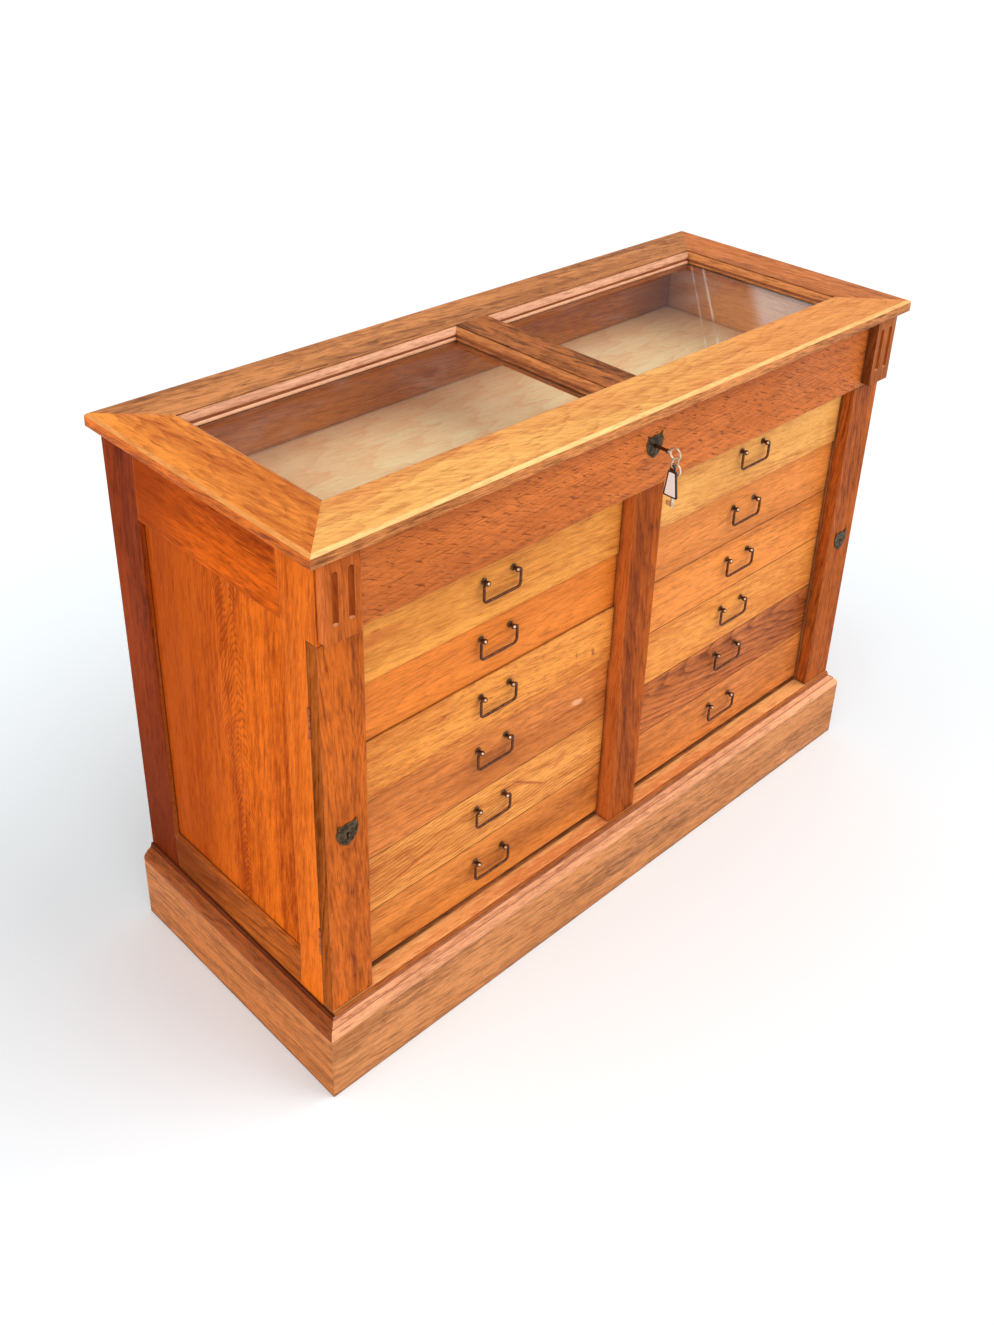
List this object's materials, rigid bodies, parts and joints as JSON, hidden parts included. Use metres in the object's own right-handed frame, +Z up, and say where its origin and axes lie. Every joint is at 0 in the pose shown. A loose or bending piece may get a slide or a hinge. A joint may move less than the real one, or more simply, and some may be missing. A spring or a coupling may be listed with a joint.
{
  "type": "shop display cabinet",
  "caption": "Oak shop display cabinet: a hinged glazed lid over a shallow display space, above two banks of drawers held by hinged locking stiles, on a moulded plinth.",
  "frame": {"origin": "on the floor, at the middle of the lid's length and depth, on the underside of the plinth's centre bearer", "axes": "+X to the right as seen from the front, +Y towards the back, +Z up"},
  "size_m": [1.32, 0.5501, 0.956],
  "materials": {
    "plinth_oak": "waxed",
    "moulding_oak": "waxed",
    "side_oak": "waxed",
    "panel_oak": "waxed",
    "back_oak": "waxed",
    "frieze_oak": "waxed",
    "block_oak": "waxed",
    "post_oak": "waxed",
    "inner_oak": "waxed",
    "floor_oak": "waxed",
    "lid_oak": "waxed",
    "bead_oak": "waxed",
    "stile_oak": "waxed",
    "drawer_oak_left_1": "waxed",
    "drawer_oak_left_2": "waxed",
    "drawer_oak_left_3": "waxed",
    "drawer_oak_left_4": "waxed",
    "drawer_oak_left_5": "waxed",
    "drawer_oak_left_6": "waxed",
    "drawer_oak_right_1": "waxed",
    "drawer_oak_right_2": "waxed",
    "drawer_oak_right_3": "waxed",
    "drawer_oak_right_4": "waxed",
    "drawer_oak_right_5": "waxed",
    "drawer_oak_right_6": "waxed",
    "glass": "polished",
    "dark_brass": "aged",
    "pull_bronze": "aged",
    "steel": "brushed",
    "key_steel": "worn",
    "tag_plastic": "matt"
  },
  "bodies": {
    "case": {"plinth": "plinth_oak", "bottom_board": "moulding_oak", "side_frames": "side_oak", "side_panels": "panel_oak", "back_panelling": "back_oak", "frieze_rail": "frieze_oak", "fluted_blocks": "block_oak", "centre_post": "post_oak", "drawer_runner_frames": "inner_oak", "display_floor": "floor_oak", "case_hinge_leaves": "dark_brass", "lid_lock": "dark_brass"},
    "lid": {"lid_frame": "lid_oak", "glazing_beads": "bead_oak", "glass_panes": "glass", "lid_hinge_leaves": "dark_brass"},
    "left_stile": {"left_locking_stile": "stile_oak", "left_stile_furniture": "dark_brass"},
    "right_stile": {"right_locking_stile": "stile_oak", "right_stile_furniture": "dark_brass"},
    "lock_bolt": {"lid_lock_bolt": "steel"},
    "key_in_lock": {"key": "key_steel"},
    "ring_with_spare_key": {"key_ring": "key_steel"},
    "tag": {"key_tag": "tag_plastic"},
    "left_drawer_1": {"left_drawer_1": "drawer_oak_left_1", "left_pull_posts_1": "pull_bronze"},
    "left_bail_1": {"left_bail_1": "pull_bronze"},
    "left_drawer_2": {"left_drawer_2": "drawer_oak_left_2", "left_pull_posts_2": "pull_bronze"},
    "left_bail_2": {"left_bail_2": "pull_bronze"},
    "left_drawer_3": {"left_drawer_3": "drawer_oak_left_3", "left_pull_posts_3": "pull_bronze"},
    "left_bail_3": {"left_bail_3": "pull_bronze"},
    "left_drawer_4": {"left_drawer_4": "drawer_oak_left_4", "left_pull_posts_4": "pull_bronze"},
    "left_bail_4": {"left_bail_4": "pull_bronze"},
    "left_drawer_5": {"left_drawer_5": "drawer_oak_left_5", "left_pull_posts_5": "pull_bronze"},
    "left_bail_5": {"left_bail_5": "pull_bronze"},
    "left_drawer_6": {"left_drawer_6": "drawer_oak_left_6", "left_pull_posts_6": "pull_bronze"},
    "left_bail_6": {"left_bail_6": "pull_bronze"},
    "right_drawer_1": {"right_drawer_1": "drawer_oak_right_1", "right_pull_posts_1": "pull_bronze"},
    "right_bail_1": {"right_bail_1": "pull_bronze"},
    "right_drawer_2": {"right_drawer_2": "drawer_oak_right_2", "right_pull_posts_2": "pull_bronze"},
    "right_bail_2": {"right_bail_2": "pull_bronze"},
    "right_drawer_3": {"right_drawer_3": "drawer_oak_right_3", "right_pull_posts_3": "pull_bronze"},
    "right_bail_3": {"right_bail_3": "pull_bronze"},
    "right_drawer_4": {"right_drawer_4": "drawer_oak_right_4", "right_pull_posts_4": "pull_bronze"},
    "right_bail_4": {"right_bail_4": "pull_bronze"},
    "right_drawer_5": {"right_drawer_5": "drawer_oak_right_5", "right_pull_posts_5": "pull_bronze"},
    "right_bail_5": {"right_bail_5": "pull_bronze"},
    "right_drawer_6": {"right_drawer_6": "drawer_oak_right_6", "right_pull_posts_6": "pull_bronze"},
    "right_bail_6": {"right_bail_6": "pull_bronze"}
  },
  "joints": [
    {"name": "lid_lift", "type": "hinge", "parent": "case", "child": "lid", "pos_m": [0, 0.2604, 0.93475], "axis": [-1, 0, 0], "range_deg": [0, 95]},
    {"name": "left_stile_swing", "type": "hinge", "parent": "case", "child": "left_stile", "pos_m": [-0.6384, -0.21125, 0.47825], "axis": [0, 0, -1], "range_deg": [0, 120]},
    {"name": "right_stile_swing", "type": "hinge", "parent": "case", "child": "right_stile", "pos_m": [0.6384, -0.21125, 0.47825], "axis": [0, 0, 1], "range_deg": [0, 120]},
    {"name": "key_turn", "type": "hinge", "parent": "case", "child": "key_in_lock", "pos_m": [0, -0.234, 0.876], "axis": [0, 1, 0], "range_deg": [0, 90]},
    {"name": "lock_bolt_rise", "type": "slide", "parent": "case", "child": "lock_bolt", "axis": [0, 0, 1], "range_m": [0, 0.008]},
    {"name": "ring_hang", "type": "hinge", "parent": "key_in_lock", "child": "ring_with_spare_key", "pos_m": [0, -0.2743, 0.8667], "axis": [0, 1, 0], "range_deg": [-90, 0]},
    {"name": "tag_swing", "type": "hinge", "parent": "ring_with_spare_key", "child": "tag", "pos_m": [-0.0025, -0.2743, 0.85401], "axis": [-1, 0, 0], "range_deg": [-30, 70]},
    {"name": "left_drawer_1_slide", "type": "slide", "parent": "case", "child": "left_drawer_1", "axis": [0, -1, 0], "range_m": [-0.003, 0.36]},
    {"name": "left_bail_1_lift", "type": "hinge", "parent": "left_drawer_1", "child": "left_bail_1", "pos_m": [-0.2985, -0.2188, 0.7605], "axis": [-1, 0, 0], "range_deg": [-12, 95]},
    {"name": "left_drawer_2_slide", "type": "slide", "parent": "case", "child": "left_drawer_2", "axis": [0, -1, 0], "range_m": [0, 0.36]},
    {"name": "left_bail_2_lift", "type": "hinge", "parent": "left_drawer_2", "child": "left_bail_2", "pos_m": [-0.2985, -0.2158, 0.6605], "axis": [-1, 0, 0], "range_deg": [-12, 95]},
    {"name": "left_drawer_3_slide", "type": "slide", "parent": "case", "child": "left_drawer_3", "axis": [0, -1, 0], "range_m": [-0.003, 0.36]},
    {"name": "left_bail_3_lift", "type": "hinge", "parent": "left_drawer_3", "child": "left_bail_3", "pos_m": [-0.2985, -0.2188, 0.558], "axis": [-1, 0, 0], "range_deg": [-12, 95]},
    {"name": "left_drawer_4_slide", "type": "slide", "parent": "case", "child": "left_drawer_4", "axis": [0, -1, 0], "range_m": [0, 0.36]},
    {"name": "left_bail_4_lift", "type": "hinge", "parent": "left_drawer_4", "child": "left_bail_4", "pos_m": [-0.2985, -0.2158, 0.456], "axis": [-1, 0, 0], "range_deg": [-12, 95]},
    {"name": "left_drawer_5_slide", "type": "slide", "parent": "case", "child": "left_drawer_5", "axis": [0, -1, 0], "range_m": [0, 0.36]},
    {"name": "left_bail_5_lift", "type": "hinge", "parent": "left_drawer_5", "child": "left_bail_5", "pos_m": [-0.2985, -0.2158, 0.3395], "axis": [-1, 0, 0], "range_deg": [-12, 95]},
    {"name": "left_drawer_6_slide", "type": "slide", "parent": "case", "child": "left_drawer_6", "axis": [0, -1, 0], "range_m": [0, 0.36]},
    {"name": "left_bail_6_lift", "type": "hinge", "parent": "left_drawer_6", "child": "left_bail_6", "pos_m": [-0.2985, -0.2158, 0.231], "axis": [-1, 0, 0], "range_deg": [-12, 95]},
    {"name": "right_drawer_1_slide", "type": "slide", "parent": "case", "child": "right_drawer_1", "axis": [0, -1, 0], "range_m": [-0.003, 0.36]},
    {"name": "right_bail_1_lift", "type": "hinge", "parent": "right_drawer_1", "child": "right_bail_1", "pos_m": [0.2985, -0.2188, 0.7685], "axis": [-1, 0, 0], "range_deg": [-12, 95]},
    {"name": "right_drawer_2_slide", "type": "slide", "parent": "case", "child": "right_drawer_2", "axis": [0, -1, 0], "range_m": [0, 0.36]},
    {"name": "right_bail_2_lift", "type": "hinge", "parent": "right_drawer_2", "child": "right_bail_2", "pos_m": [0.2985, -0.2158, 0.6585], "axis": [-1, 0, 0], "range_deg": [-12, 95]},
    {"name": "right_drawer_3_slide", "type": "slide", "parent": "case", "child": "right_drawer_3", "axis": [0, -1, 0], "range_m": [0, 0.36]},
    {"name": "right_bail_3_lift", "type": "hinge", "parent": "right_drawer_3", "child": "right_bail_3", "pos_m": [0.2985, -0.2158, 0.555], "axis": [-1, 0, 0], "range_deg": [-12, 95]},
    {"name": "right_drawer_4_slide", "type": "slide", "parent": "case", "child": "right_drawer_4", "axis": [0, -1, 0], "range_m": [0, 0.36]},
    {"name": "right_bail_4_lift", "type": "hinge", "parent": "right_drawer_4", "child": "right_bail_4", "pos_m": [0.2985, -0.2158, 0.452], "axis": [-1, 0, 0], "range_deg": [-12, 95]},
    {"name": "right_drawer_5_slide", "type": "slide", "parent": "case", "child": "right_drawer_5", "axis": [0, -1, 0], "range_m": [0, 0.36]},
    {"name": "right_bail_5_lift", "type": "hinge", "parent": "right_drawer_5", "child": "right_bail_5", "pos_m": [0.2985, -0.2158, 0.353], "axis": [-1, 0, 0], "range_deg": [-12, 95]},
    {"name": "right_drawer_6_slide", "type": "slide", "parent": "case", "child": "right_drawer_6", "axis": [0, -1, 0], "range_m": [0, 0.36]},
    {"name": "right_bail_6_lift", "type": "hinge", "parent": "right_drawer_6", "child": "right_bail_6", "pos_m": [0.2985, -0.2158, 0.237], "axis": [-1, 0, 0], "range_deg": [-12, 95]}
  ],
  "couplings": [
    {"joint": "lock_bolt_rise", "follows": "key_turn", "m_per_rad": 0.005093},
    {"joint": "ring_hang", "follows": "key_turn", "ratio": -1}
  ]
}
